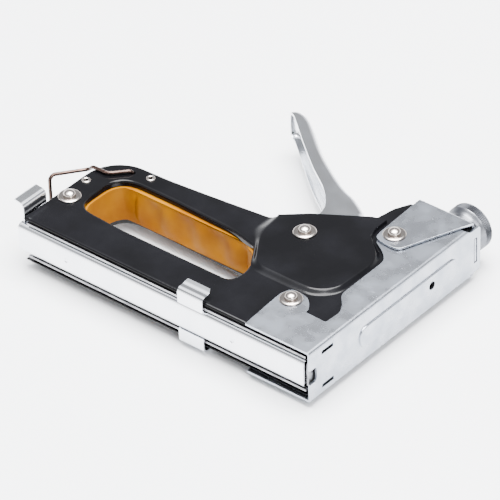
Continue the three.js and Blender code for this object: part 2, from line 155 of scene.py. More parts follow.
def inset(points: Sequence[Point], distance: float, closed: bool = True) -> list[Point]:
    """Moves the points of a counter-clockwise outline to its inside.

    Args:
        points: the outline.
        distance: how far each edge moves.
        closed: whether the last point joins the first.

    Returns:
        As many points, moved.
    """
    moved: list[Point] = []
    count = len(points)
    for i, point in enumerate(points):
        before = points[i - 1] if closed or i else point
        after = points[(i + 1) % count] if closed or i < count - 1 else point
        into = (Vector(point) - Vector(before)).normalized()
        out = (Vector(after) - Vector(point)).normalized()
        into = into if into.length else out
        out = out if out.length else into
        normal = Vector((-into.y - out.y, into.x + out.x)).normalized()
        reach = distance / max(normal.dot(Vector((-into.y, into.x))), 0.4)
        moved.append((point[0] + normal.x * reach, point[1] + normal.y * reach))
    return moved


def near(spot: Vector, points: Iterable[Point], reach: float = 0.03) -> bool:
    """Says whether a place is above or on one of an outline's points."""
    return min((spot.xy - Vector(p)).length for p in points) < reach


def ribbon(line: Sequence[Point], thick: float) -> list[Point]:
    """Turns the middle line of a bent sheet into its closed outline."""
    return [*inset(line, -thick / 2, False), *reversed(inset(line, thick / 2, False))]


# ----------------------------------------------------------------------------------------------------------
# Bench work: primitives shaped by operators
# ----------------------------------------------------------------------------------------------------------
def alone(piece: bpy.types.Object | None = None) -> None:
    """Leaves only that piece selected and active, or nothing."""
    bpy.ops.object.select_all(action="DESELECT")
    bpy.context.view_layer.objects.active = piece
    if piece:
        piece.select_set(True)


def settle(piece: bpy.types.Object) -> bpy.types.Object:
    """Puts the piece's place into its mesh, so that its object is at the origin."""
    alone(piece)
    bpy.ops.object.transform_apply(location=True, rotation=True, scale=True)
    return piece


def blank(
    name: str,
    outline: Sequence[Point],
    low: float,
    high: float,
    axis: Axis = Axis.Z,
) -> bpy.types.Object:
    """Cuts a flat blank: a rim placed on an outline, filled and extruded.

    Args:
        name: the piece's name.
        outline: counter-clockwise (x, y) points, or (z, y) points for a blank along X, (z, x) along Y.
        low: where the blank starts along the axis.
        high: where it ends.
        axis: the way it is extruded.

    Returns:
        The blank.
    """
    alone()
    bpy.ops.mesh.primitive_circle_add(vertices=len(outline), radius=MM, fill_type="NGON")
    piece = bpy.context.object
    piece.name = name
    spots: dict[Axis, Callable[[float, float], Vector]] = {
        Axis.Z: lambda a, b: at(a, b, low),
        Axis.X: lambda a, b: at(low, b, a),
        Axis.Y: lambda a, b: at(b, low, a),
    }
    for vertex, (a, b) in zip(piece.data.vertices, outline):
        vertex.co = spots[axis](a, b)
    shift = [0.0, 0.0, 0.0]
    shift[axis.value] = (high - low) * MM
    bpy.ops.object.mode_set(mode="EDIT")
    bpy.ops.mesh.select_all(action="SELECT")
    bpy.ops.mesh.extrude_region_move(TRANSFORM_OT_translate={"value": shift})
    bpy.ops.mesh.select_all(action="SELECT")
    bpy.ops.mesh.normals_make_consistent(inside=False)
    bpy.ops.object.mode_set(mode="OBJECT")
    return settle(piece)


def block(name: str, xs: Point, ys: Point, zs: Point) -> bpy.types.Object:
    """Cuts a square block between two places along each axis."""
    return blank(name, [(xs[0], ys[0]), (xs[1], ys[0]), (xs[1], ys[1]), (xs[0], ys[1])], *zs)


def turned(
    name: str,
    profile: Sequence[Point],
    centre: tuple[float, float, float],
    axis: Axis = Axis.Z,
    sides: int = 48,
    ring: bool = False,
) -> bpy.types.Object:
    """Turns a round piece: a circle extruded and scaled from one profile point to the next.

    Args:
        name: the piece's name.
        profile: (radius, place along the axis) points. A ring's profile ends where it starts.
        centre: a point on the axis. Its place along the axis is added to the profile's.
        axis: the axis it is turned about.
        sides: points round the piece.
        ring: whether the piece is open in the middle.

    Returns:
        The turned piece.
    """
    alone()
    along = Vector([1.0 if i == axis.value else 0.0 for i in range(3)])
    turn = Vector((0, 0, 1)).rotation_difference(along).to_euler()
    start = at(*centre) + along * profile[0][1] * MM
    bpy.ops.mesh.primitive_circle_add(
        vertices=sides,
        radius=profile[0][0] * MM,
        fill_type="NOTHING" if ring else "NGON",
        location=start,
        rotation=turn,
    )
    piece = settle(bpy.context.object)
    piece.name = name
    bpy.ops.object.mode_set(mode="EDIT")
    bpy.ops.mesh.select_all(action="SELECT")
    for (radius, spot), (next_radius, next_spot) in zip(profile, profile[1:]):
        shift = along * (next_spot - spot) * MM
        if ring:
            bpy.ops.mesh.extrude_edges_move(TRANSFORM_OT_translate={"value": shift})
        else:
            bpy.ops.mesh.extrude_region_move(TRANSFORM_OT_translate={"value": shift})
        grow = max(next_radius, 0.01) / radius
        scale = [grow] * 3
        scale[axis.value] = 1.0
        bpy.ops.transform.resize(value=scale, center_override=at(*centre) + along * next_spot * MM)
    bpy.ops.mesh.select_all(action="SELECT")
    bpy.ops.mesh.remove_doubles(threshold=0.002 * MM)
    bpy.ops.mesh.normals_make_consistent(inside=False)
    bpy.ops.object.mode_set(mode="OBJECT")
    return piece


def apply_modifier(piece: bpy.types.Object, kind: str, **values: object) -> None:
    """Adds a modifier with those values and applies it."""
    alone(piece)
    modifier = piece.modifiers.new(kind.lower(), kind)
    for key, value in values.items():
        setattr(modifier, key, value)
    bpy.ops.object.modifier_apply(modifier=modifier.name)


def combine(piece: bpy.types.Object, tools: Iterable[bpy.types.Object], how: Join) -> bpy.types.Object:
    """Cuts the tools from the piece, joins them to it, or keeps what they share.

    Args:
        piece: the piece to change.
        tools: the objects to use up.
        how: which of the three.

    Returns:
        The piece.
    """
    for tool in tools:
        apply_modifier(piece, "BOOLEAN", operation=how.value, solver="EXACT", object=tool)
        bpy.data.objects.remove(tool)
    return piece


def round_edges(piece: bpy.types.Object, width: float, segments: int = 2, angle: float = 40.0) -> None:
    """Rounds every edge sharper than an angle, in degrees, by a width in millimetres."""
    alone(piece)
    bpy.ops.object.mode_set(mode="EDIT")
    bpy.ops.mesh.select_all(action="SELECT")
    bpy.ops.mesh.remove_doubles(threshold=0.004 * MM)
    bpy.ops.mesh.dissolve_limited(angle_limit=math.radians(0.4))
    bpy.ops.object.mode_set(mode="OBJECT")
    apply_modifier(
        piece,
        "BEVEL",
        width=width * MM,
        segments=segments,
        limit_method="ANGLE",
        angle_limit=math.radians(angle),
        miter_outer="MITER_ARC",
    )


def bend_edges(
    piece: bpy.types.Object,
    chosen: Callable[[Vector], bool],
    radius: float,
    segments: int = 5,
    flat: Axis = Axis.Z,
) -> None:
    """Rounds the edges whose two ends pass a test, such as a sheet's fold.

    Args:
        piece: the piece to change.
        chosen: says of a place, in the gun's millimetres, whether it is on the fold.
        radius: the fold's radius in millimetres.
        segments: faces across the fold.
        flat: the axis that no chosen edge runs along.
    """
    alone(piece)
    bpy.ops.object.mode_set(mode="EDIT")
    bpy.ops.mesh.select_mode(type="EDGE")
    bpy.ops.mesh.select_all(action="DESELECT")
    mesh = bmesh.from_edit_mesh(piece.data)
    for edge in mesh.edges:
        one, two = ((vertex.co - DATUM) / MM for vertex in edge.verts)
        level = abs(one[flat.value] - two[flat.value]) < 0.01
        edge.select = level and edge.calc_face_angle(0) > 0.3 and chosen(one) and chosen(two)
    bmesh.update_edit_mesh(piece.data)
    bpy.ops.mesh.bevel(offset=radius * MM, offset_type="OFFSET", segments=segments, affect="EDGES")
    bpy.ops.object.mode_set(mode="OBJECT")


def move_points(piece: bpy.types.Object, rule: Callable[[Vector], Vector]) -> None:
    """Moves each point of the piece to where a rule puts it, in the gun's millimetres."""
    for vertex in piece.data.vertices:
        spot = rule((vertex.co - DATUM) / MM)
        vertex.co = at(*spot)


def copied(piece: bpy.types.Object, name: str) -> bpy.types.Object:
    """Copies a piece with a mesh of its own."""
    twin = piece.copy()
    twin.data = piece.data.copy()
    twin.name = name
    bpy.context.scene.collection.objects.link(twin)
    return twin


def mirrored(piece: bpy.types.Object, name: str) -> bpy.types.Object:
    """Copies a piece to the other side of the gun's middle plane, faces out."""
    twin = copied(piece, name)
    alone(twin)
    bpy.ops.object.mode_set(mode="EDIT")
    bpy.ops.mesh.select_all(action="SELECT")
    bpy.ops.transform.resize(value=(1, 1, -1), center_override=DATUM)
    bpy.ops.mesh.flip_normals()
    bpy.ops.object.mode_set(mode="OBJECT")
    return twin


def bent(route: Sequence[tuple[float, float, float]], bend: float) -> list[Vector]:
    """Bends straight stretches into one line, each corner's curve starting that far from it."""
    spots = [Vector(p) for p in route]
    line = [spots[0]]
    for before, here, after in zip(spots, spots[1:], spots[2:]):
        back, ahead = before - here, after - here
        reach = min(bend, 0.45 * back.length, 0.45 * ahead.length)
        start, end = here + back.normalized() * reach, here + ahead.normalized() * reach
        line += [start.lerp(here, t).lerp(here.lerp(end, t), t) for t in (0, 0.2, 0.4, 0.6, 0.8, 1)]
    return [*line, spots[-1]]


def wire(name: str, line: Sequence[Vector], radius: float) -> bpy.types.Object:
    """Draws a round wire along a line, as a mesh with closed ends."""
    curve = bpy.data.curves.new(name, "CURVE")
    curve.dimensions = "3D"
    curve.bevel_depth = radius * MM
    curve.bevel_resolution = 4
    curve.use_fill_caps = True
    spline = curve.splines.new("POLY")
    spline.points.add(len(line) - 1)
    for point, spot in zip(spline.points, line):
        point.co = (*at(*spot), 1)
    piece = bpy.data.objects.new(name, curve)
    bpy.context.scene.collection.objects.link(piece)
    alone(piece)
    bpy.ops.object.convert(target="MESH")
    return settle(bpy.context.object)


# ----------------------------------------------------------------------------------------------------------
# Finishes
# ----------------------------------------------------------------------------------------------------------
def ramp(tree: bpy.types.NodeTree, source: bpy.types.NodeSocket, low: float, high: float) -> bpy.types.Node:
    """Adds a colour ramp from black at low to white at high, fed by a source."""
    node = tree.nodes.new("ShaderNodeValToRGB")
    node.color_ramp.elements[0].position = low
    node.color_ramp.elements[1].position = high
    tree.links.new(source, node.inputs["Fac"])
    return node


@dataclass(frozen=True)
class Finish:
    """A surface whose colour, gloss and relief vary a little from place to place.

    Attributes:
        name: the material's name.
        color: the colour of most of the surface.
        accent: the colour of its darker or lighter patches.
        roughness: the roughness of the clean surface.
        worn: the roughness of the handled patches.
        metallic: 1 for bare or plated metal.
        coat: strength of the clear coat.
        specular: strength of the reflection of a finish that isn't metal.
        patch: width of the patches in millimetres.
        grain: width of the fine relief in millimetres.
        relief: height of the fine relief in millimetres.
        stretch: how much longer than wide the grain is, along the gun.
        scratches: how strongly long fine scratches show.
    """

    name: str
    color: tuple[float, float, float]
    accent: tuple[float, float, float]
    roughness: float
    worn: float
    metallic: float = 1.0
    coat: float = 0.0
    specular: float = 0.5
    patch: float = 14.0
    grain: float = 0.6
    relief: float = 0.004
    stretch: float = 1.0
    scratches: float = 0.0

    def noise(self, tree: bpy.types.NodeTree, width: float, detail: float, stretch: float) -> bpy.types.Node:
        """Adds a noise of a width in millimetres, stretched along the gun, in Object coordinates."""
        place = tree.nodes.new("ShaderNodeTexCoord")
        mapping = tree.nodes.new("ShaderNodeMapping")
        mapping.inputs["Scale"].default_value = (1 / stretch, 1, 1)
        texture = tree.nodes.new("ShaderNodeTexNoise")
        texture.inputs["Scale"].default_value = 1 / (width * MM)
        texture.inputs["Detail"].default_value = detail
        tree.links.new(place.outputs["Object"], mapping.inputs["Vector"])
        tree.links.new(mapping.outputs["Vector"], texture.inputs["Vector"])
        return texture

    def material(self) -> bpy.types.Material:
        """Builds the finish as a node material, once."""
        made = bpy.data.materials.get(self.name)
        if made:
            return made
        made = bpy.data.materials.new(self.name)
        made.use_nodes = True
        tree = made.node_tree
        shader = tree.nodes["Principled BSDF"]
        shader.inputs["Metallic"].default_value = self.metallic
        shader.inputs["Coat Weight"].default_value = self.coat
        shader.inputs["Coat Roughness"].default_value = 0.08
        shader.inputs["Specular IOR Level"].default_value = self.specular
        patches = self.noise(tree, self.patch, 4, 1)
        mask = ramp(tree, patches.outputs["Fac"], 0.38, 0.66)
        colour = tree.nodes.new("ShaderNodeMix")
        colour.data_type = "RGBA"
        colour.inputs["A"].default_value = (*self.color, 1)
        colour.inputs["B"].default_value = (*self.accent, 1)
        tree.links.new(mask.outputs["Color"], colour.inputs["Factor"])
        tree.links.new(colour.outputs["Result"], shader.inputs["Base Color"])
        gloss = tree.nodes.new("ShaderNodeMapRange")
        gloss.inputs["To Min"].default_value = self.roughness
        gloss.inputs["To Max"].default_value = self.worn
        tree.links.new(mask.outputs["Color"], gloss.inputs["Value"])
        tree.links.new(gloss.outputs["Result"], shader.inputs["Roughness"])
        height = self.noise(tree, self.grain, 3, self.stretch).outputs["Fac"]
        if self.scratches:
            height = self.scratched(tree, height)
        bump = tree.nodes.new("ShaderNodeBump")
        bump.inputs["Strength"].default_value = 1.0
        bump.inputs["Distance"].default_value = self.relief * MM
        tree.links.new(height, bump.inputs["Height"])
        tree.links.new(bump.outputs["Normal"], shader.inputs["Normal"])
        return made

    def scratched(self, tree: bpy.types.NodeTree, height: bpy.types.NodeSocket) -> bpy.types.NodeSocket:
        """Adds sparse long scratches to the relief."""
        lines = self.noise(tree, 0.35, 2, 22)
        sparse = ramp(tree, lines.outputs["Fac"], 0.68, 0.74)
        total = tree.nodes.new("ShaderNodeMath")
        total.operation = "MULTIPLY_ADD"
        total.inputs[1].default_value = -self.scratches
        tree.links.new(sparse.outputs["Color"], total.inputs[0])
        tree.links.new(height, total.inputs[2])
        return total.outputs["Value"]


BLACK_PAINT = Finish(
    "gloss_black_paint", (0.0025, 0.0025, 0.003), (0.004, 0.004, 0.005), 0.13, 0.19,
    metallic=0.0, specular=0.17, patch=22, grain=1.1, relief=0.006,
)
ZINC = Finish(
    "satin_zinc", (0.40, 0.42, 0.46), (0.31, 0.335, 0.38), 0.24, 0.34,
    patch=9, grain=0.28, relief=0.01, stretch=3, scratches=0.8,
)
CHROME = Finish(
    "mirror_chrome", (0.82, 0.83, 0.86), (0.76, 0.78, 0.82), 0.07, 0.14,
    patch=16, grain=1.4, relief=0.006, scratches=0.25,
)
KNOB_METAL = Finish(
    "knurled_steel", (0.16, 0.165, 0.18), (0.11, 0.115, 0.13), 0.26, 0.38,
    patch=5, grain=0.3, relief=0.008,
)
LEVER_CHROME = Finish(
    "polished_lever", (0.80, 0.81, 0.83), (0.72, 0.74, 0.78), 0.13, 0.21,
    patch=12, grain=0.9, relief=0.007, stretch=2, scratches=0.3,
)
NICKEL = Finish(
    "warm_nickel", (0.56, 0.51, 0.47), (0.46, 0.41, 0.38), 0.1, 0.2,
    patch=2.4, grain=0.5, relief=0.005,
)
TOOL_STEEL = Finish(
    "dark_tool_steel", (0.30, 0.30, 0.31), (0.20, 0.20, 0.21), 0.32, 0.46,
    patch=5, grain=0.35, relief=0.012, stretch=4,
)
SPRING_STEEL = Finish(
    "brown_spring_wire", (0.085, 0.055, 0.045), (0.045, 0.03, 0.026), 0.2, 0.32,
    patch=4, grain=0.4, relief=0.008,
)
AMBER = Finish(
    "amber_moulding", (0.27, 0.105, 0.0002), (0.19, 0.062, 0.0001), 0.5, 0.6,
    metallic=0.0, coat=0.0, specular=0.06, patch=18, grain=0.5, relief=0.018,
)


def dress(
    piece: bpy.types.Object,
    finish: Finish,
    body: str,
    nodes: Sequence[str],
    smooth: float = 35.0,
) -> bpy.types.Object:
    """Shades a finished piece, gives it a finish and ties it to the frame.

    Args:
        piece: the piece, in place.
        finish: its surface.
        body: the body that carries it.
        nodes: the CAD nodes that it stands for.
        smooth: the largest angle between faces that shade as one, in degrees.

    Returns:
        The piece.
    """
    settle(piece)
    bpy.ops.object.shade_smooth_by_angle(angle=math.radians(smooth))
    apply_modifier(piece, "WEIGHTED_NORMAL", mode="FACE_AREA", weight=100, keep_sharp=True)
    piece.data.materials.clear()
    piece.data.materials.append(finish.material())
    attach(piece, body)
    if nodes:
        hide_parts(*nodes)
    LOG.info("%s: %d faces, %s, rides on %s", piece.name, len(piece.data.polygons), finish.name, body)
    return piece


# ----------------------------------------------------------------------------------------------------------
# Body
# ----------------------------------------------------------------------------------------------------------
RIVETS: dict[str, tuple[float, float, float]] = {
    "pivot": (-55.0, 64.8, HOUSING_OUT),
    "front": (-30.0, 24.8, NOSE_OUT),
    "hood": (-22.7, 86.0, HOOD_OUT),
    "rear": (-154.6, 24.7, SHELL_OUT),
}
EYELETS: list[Point] = [(-156.8, 38.2), (-135.2, 56.4)]
BAIL_PIVOT: Point = (-144.4, 54.9)
SHANK = 2.4
HAND_HOLE: list[Corner] = [
    (-58.9, 29.5, 2.5), (-61.2, 37, 3), (-67.2, 45.8, 3), (-81.8, 49.2, 6), (-116.8, 50.4, 6),
    (-147.6, 50.2, 12), (-147.6, 22, 9), (-121.5, 20.4, 6), (-60, 20.8, 5.5),
]
INSERT_HALF = 8.7


def bore(x: float, y: float, radius: float, low: float = -16.0, high: float = 16.0) -> bpy.types.Object:
    """Makes a tool that drills a round hole along Z."""
    return turned("bore", [(radius, low), (radius, high)], (x, y, 0), sides=32)


@dataclass
class Body:
    """The two black sheet shells, with their raised housing, and the amber insert between them."""

    rear: float = -160.6
    front: float = -1.4
    base: float = 1.2
    handle_open: float = -76.2
    seam: float = 0.15
    edge_round: float = 1.3
    hole_round: float = 1.1
    flange: float = 2.0
    lip: float = 0.9
    wave_middle: float = 48.1
    wave_height: float = 1.2
    wave_pitch: float = 18.5
    wave_crest: float = -80.8
    wave_full: float = 2.5
    wall_levels: tuple[float, ...] = (-7.9, -6.8, -5.6, -4, -2, 2, 4, 5.6, 6.8, 7.9)
    foot: list[Corner] = field(
        default_factory=lambda: [
            (-58.4, 31.4, 6), (-35, 31.5, 3), (-24.8, 32.6, 5), (-16.4, 40.6, 6), (-16.3, 66, 8),
            (-19.2, 73, 4), (-29, 78.8), (-32.2, 84.5), (-32.2, 93.2), (-38.8, 91.4), (-61.8, 76.8),
            (-72.8, 67.5), (-75.8, 65.7), (-76.4, 53.0, 7), (-68.4, 47.4, 4),
        ]
    )
    crown: list[Corner] = field(
        default_factory=lambda: [
            (-57.4, 35.1, 6), (-34.7, 35.2, 3), (-25.8, 35.8, 5), (-19.2, 42, 6), (-18.2, 65, 8),
            (-21.4, 71.5, 4), (-31.2, 80), (-32.6, 85.5), (-32.6, 93), (-38.8, 91.4), (-61.8, 76.8),
            (-72.2, 67.9), (-70.8, 66.9), (-69.6, 54.8, 7), (-65.6, 46.6, 4),
        ]
    )
    draft: tuple[Point, ...] = (
        (0.1, 0.03), (0.22, 0.1), (0.38, 0.27), (0.54, 0.5), (0.7, 0.73), (0.84, 0.91), (0.94, 0.985),
        (1.0, 1.0),
    )

    def outline(self) -> list[Point]:
        """Returns the outline of a shell, with the round corner over the bail's pivot."""
        radius, centre = 18.2, (self.rear + 18.2, 42.4)
        turns = [math.radians(90 + 90 * step / 16) for step in range(17)]
        corner = [(centre[0] + radius * math.cos(t), centre[1] + radius * math.sin(t)) for t in turns]
        return [
            (self.rear, self.base), (self.front, self.base), (self.front, 111.6), (-32.6, 111.6),
            (-36.6, 103.4), (-38.8, 91.4), (-61.8, 76.8), (-72.8, 67.5), (-75.8, 65.7), (-128, 61.2), *corner,
        ]

    def stamping(self, name: str, low: float, high: float, grow: float) -> bpy.types.Object:
        """Presses the raised housing: soft rings from the foot to the flat crown.

        Args:
            name: the piece's name.
            low: the height of its flat foot.
            high: the height of its crown.
            grow: 1 for the outside, less for the hollow under it.

        Returns:
            The stamping as a closed solid.
        """
        middle = Vector((-47, 62))
        foot, crown = (
            [middle + (Vector(p) - middle) * grow for p in rounded(ring)] for ring in (self.foot, self.crown)
        )
        piece = blank(name, [(p.x, p.y) for p in foot], low - 0.2, low)
        alone(piece)
        bpy.ops.object.mode_set(mode="EDIT")
        bpy.ops.mesh.select_mode(type="FACE")
        before = 0.0
        for share, level in self.draft:
            mesh = bmesh.from_edit_mesh(piece.data)
            for face in mesh.faces:
                face.select_set(False)
            max(mesh.faces, key=lambda face: face.calc_center_median().z).select_set(True)
            bmesh.update_edit_mesh(piece.data)
            bpy.ops.mesh.extrude_region_move(TRANSFORM_OT_translate={"value": (0, 0, 0.01 * MM)})
            mesh = bmesh.from_edit_mesh(piece.data)
            rings = [start.lerp(end, before) for start, end in zip(foot, crown)]
            for vertex in next(face for face in mesh.faces if face.select).verts:
                spot = ((vertex.co - DATUM) / MM).xy
                index = min(range(len(rings)), key=lambda i: (rings[i] - spot).length)
                place = foot[index].lerp(crown[index], share)
                vertex.co = at(place.x, place.y, low + (high - low) * level)
            bmesh.update_edit_mesh(piece.data)
            before = share
        bpy.ops.object.mode_set(mode="OBJECT")
        return piece

    def free_edge(self, spot: Vector) -> bool:
        """Says whether a place is on the sheet's outer fold, away from the raised housing."""
        housing = spot.x > -75.7 and spot.y > 60 and spot.x < -33
        return spot.z > SHELL_OUT - 0.01 and not housing

    def shell(self, name: str) -> bpy.types.Object:
        """Presses, folds and pierces the right shell."""
        edge = self.outline()
        piece = blank(name, edge, self.seam, SHELL_OUT)
        bend_edges(piece, self.free_edge, self.edge_round, 4)
        hole = rounded(HAND_HOLE, 8)
        combine(piece, [blank("hole", hole, -1, 15)], Join.CUT)

        def on_rim(spot: Vector) -> bool:
            """Says whether a place is on the hand hole's outer rim."""
            return spot.z > SHELL_OUT - 0.01 and near(spot, hole)

        bend_edges(piece, on_rim, self.hole_round, 3)
        combine(piece, [self.stamping("housing", SHELL_OUT, HOUSING_OUT, 1.0)], Join.FUSE)
        inner = SHELL_OUT - SHEET
        tools = [
            blank("hollow", inset(edge, SHEET), -1, inner),
            block("open", (self.rear - 5, 5), (self.base - 5, 20), (-1, inner)),
            block("open", (self.handle_open, 5), (19, 120), (-1, inner)),
            self.stamping("dish", inner, HOUSING_OUT - SHEET, 0.97),
        ]
        for tool in tools:
            combine(tool, [blank("rolled", inset(hole, -SHEET), INSERT_HALF + 0.3, 16)], Join.CUT)
        combine(piece, tools, Join.CUT)
        bores = [bore(x, y, SHANK + 0.3) for x, y, _ in RIVETS.values()]
        bores += [bore(x, y, 1.7) for x, y in EYELETS] + [bore(*BAIL_PIVOT, 1.3)]
        return combine(piece, bores, Join.CUT)

    def fade(self, spot: Vector) -> Vector:
        """Flattens the finger waves towards both rims of the insert's upper wall.

        Args:
            spot: a place on the wall.

        Returns:
            The place that it moves to.
        """
        if not 45 < spot.y < 50 or not -141 < spot.x < -73.5:
            return spot
        share = min(max((abs(spot.z) - self.wave_full) / (INSERT_HALF - self.wave_full), 0.0), 1.0)
        swell = 1 - share * share * (3 - 2 * share)
        return Vector((spot.x, self.wave_middle + (spot.y - self.wave_middle) * swell, spot.z))

    def insert(self) -> bpy.types.Object:
        """Moulds the insert: a band behind the shells' rolled edges, with finger waves on its upper wall."""
        smooth = rounded(HAND_HOLE, 8)
        inside = [p for p in inset(smooth, self.lip) if p[1] < 42 or p[0] > -71.5 or p[0] < -140.5]
        phase = 2 * math.pi / self.wave_pitch
        waves = [
            (x, self.wave_middle - self.wave_height * math.cos((x - self.wave_crest) * phase))
            for x in (-74 - 0.8 * step for step in range(82))
        ]
        ring = sorted([*inside, *waves], key=lambda p: math.atan2(p[1] - 35, p[0] + 104))
        ring = [p for p, ahead in zip(ring, [*ring[1:], ring[0]]) if math.dist(p, ahead) > 0.25]
        piece = blank("insert_wall", inset(smooth, -self.flange), -INSERT_HALF, INSERT_HALF)
        combine(piece, [blank("hollow", ring, -INSERT_HALF - 1, INSERT_HALF + 1)], Join.CUT)
        alone(piece)
        bpy.ops.object.mode_set(mode="EDIT")
        for level in self.wall_levels:
            bpy.ops.mesh.select_all(action="SELECT")
            bpy.ops.mesh.bisect(plane_co=at(0, 0, level), plane_no=(0, 0, 1))
        bpy.ops.object.mode_set(mode="OBJECT")
        move_points(piece, self.fade)
        round_edges(piece, 0.25, 3, 60)
        return piece

    def build(self) -> None:
        """Builds both shells and the insert, and dresses them."""
        right = self.shell("shell_right")
        left = mirrored(right, "shell_left")
        dress(right, BLACK_PAINT, "frame", ["right_shell"])
        dress(left, BLACK_PAINT, "frame", ["left_shell"])
        dress(self.insert(), AMBER, "frame", ["finger_insert"], 50)


# ----------------------------------------------------------------------------------------------------------
# Nose
# ----------------------------------------------------------------------------------------------------------
@dataclass
class Nose:
    """The plated nose plate and the hood over its top."""

    sheet: float = 1.0
    fold: float = 1.8
    top: float = 117.0
    back: float = -36.4
    hood_top: float = 114.2
    hood_back: float = -30.4
    hood_front: float = -1.3
    front_hole: Corner = (0, 82, 2)
    flange: list[Corner] = field(
        default_factory=lambda: [
            (-34.4, -1, 1), (5, -1), (5, 120), (-1, 120), (-1, 108.9), (-2, 109.4), (-12, 98, 3),
            (-17, 92.2, 3), (-27.5, 91.5, 5), (-28, 79, 4), (-21.5, 75.6, 3), (-15.6, 70.5, 5),
            (-15.3, 40, 3), (-9.8, 34.1, 3), (-7.9, 29.7, 1.5), (-8.4, 21.2, 0.8), (-19.5, 21.4, 0.8),
            (-19.3, 23.3, 1), (-22.5, 27.8, 3), (-26, 30.2, 3), (-34, 30.8, 5), (-36.2, 25.5, 3),
        ]
    )

    def plate(self) -> bpy.types.Object:
        """Folds the nose plate from sheet, trims its outlines and pierces it."""
        out, thin = NOSE_OUT, self.sheet
        outer = rounded([(-out, self.back), (out, self.back), (out, 0, self.fold), (-out, 0, self.fold)], 6)
        inner = rounded(
            [(thin - out, self.back - 1), (out - thin, self.back - 1), (out - thin, -thin, self.fold - thin),
             (thin - out, -thin, self.fold - thin)], 6)
        piece = blank("nose_front", outer, 0, self.top, Axis.Y)
        combine(piece, [blank("inner", inner, -1, self.top + 1, Axis.Y)], Join.CUT)
        combine(piece, [blank("side", rounded(self.flange), -15, 15)], Join.TRIM)
        face = rounded([
            (-14, -1), (14, -1), (14, 105), (13, 107.5, 1), (11.2, 110.2, 1), (11.2, 117, 1.6),
            (-11.2, 117, 1.6), (-11.2, 110.2, 1), (-13, 107.5, 1), (-14, 105),
        ])
        combine(piece, [blank("face", face, -40, 2, Axis.X)], Join.TRIM)
        tools = [block("slot", (-5, 5), (8, 15.6), (z - 0.9, z + 0.9)) for z in (-8.7, 8.7)]
        tools.append(block("cross", (-5, 5), (112.5, 114.7), (-6.5, 6.5)))
        notch = rounded([(-3.6, -1), (3.6, -1), (3.6, 4.6, 1.5), (-3.6, 4.6, 1.5)])
        tools.append(blank("notch", notch, -5, 5, Axis.X))
        tools.append(self.front_bore())
        tools += [bore(*RIVETS[key][:2], SHANK + 0.3) for key in ("front", "hood")]
        combine(piece, tools, Join.CUT)
        return piece

    def front_bore(self) -> bpy.types.Object:
        """Makes a tool that drills the round hole in the front wall."""
        across, height, radius = self.front_hole
        return turned("bore", [(radius, -3), (radius, 3)], (0, height, across), Axis.X, 32)

    def rib(self) -> bpy.types.Object:
        """Presses the long rib: a raised pad with soft sides."""
        outer = rounded([(-5.2, 33, 5), (5.2, 33, 5), (5.2, 100, 5), (-5.2, 100, 5)], 8)
        piece = blank("rib", outer, -0.3, RIB_HEIGHT, Axis.X)
        bend_edges(piece, lambda spot: spot.x > RIB_HEIGHT - 0.01, 0.6, 4, Axis.X)
        return combine(piece, [self.front_bore()], Join.CUT)

    def hood(self) -> bpy.types.Object:
        """Folds the hood over the nose's top."""
        out, thin, low = HOOD_OUT, self.sheet, 70.0
        outer = rounded([(-out, low), (out, low), (out, self.hood_top, 2.2), (-out, self.hood_top, 2.2)], 6)
        inner = rounded(
            [(thin - out, low - 1), (out - thin, low - 1), (out - thin, self.hood_top - 1.2, 1.2),
             (thin - out, self.hood_top - 1.2, 1.2)], 6)
        piece = blank("hood_cap", outer, self.hood_back, self.hood_front, Axis.X)
        combine(piece, [blank("inner", inner, self.hood_back - 1, self.hood_front + 1, Axis.X)], Join.CUT)
        side = rounded([
            (-15, 78.6, 3), (self.hood_front, 112), (self.hood_front, 120), (self.hood_back, 120),
            (-28.9, 84), (-28.2, 79.6, 4), (-22.3, 78.3, 4),
        ])
        combine(piece, [blank("side", side, -16, 16)], Join.TRIM)
        height = (self.hood_top - 1.2, self.hood_top)
        tongue = block("tongue", (self.hood_front - 0.2, -0.1), height, (-6, 6))
        combine(piece, [tongue], Join.FUSE)
        well = turned("well", [(3.3, 105), (3.3, 118)], (SPRING_X, 0, 0), Axis.Y, 32)
        return combine(piece, [bore(*RIVETS["hood"][:2], SHANK + 0.3), well], Join.CUT)

    def build(self) -> None:
        """Builds the nose plate with its rib, and the hood."""
        plate = combine(self.plate(), [self.rib()], Join.FUSE)
        round_edges(plate, 0.16, 2, 50)
        dress(plate, ZINC, "frame", ["nose_plate"])
        hood = self.hood()
        round_edges(hood, 0.2, 2, 50)
        dress(hood, ZINC, "frame", ["hood"])


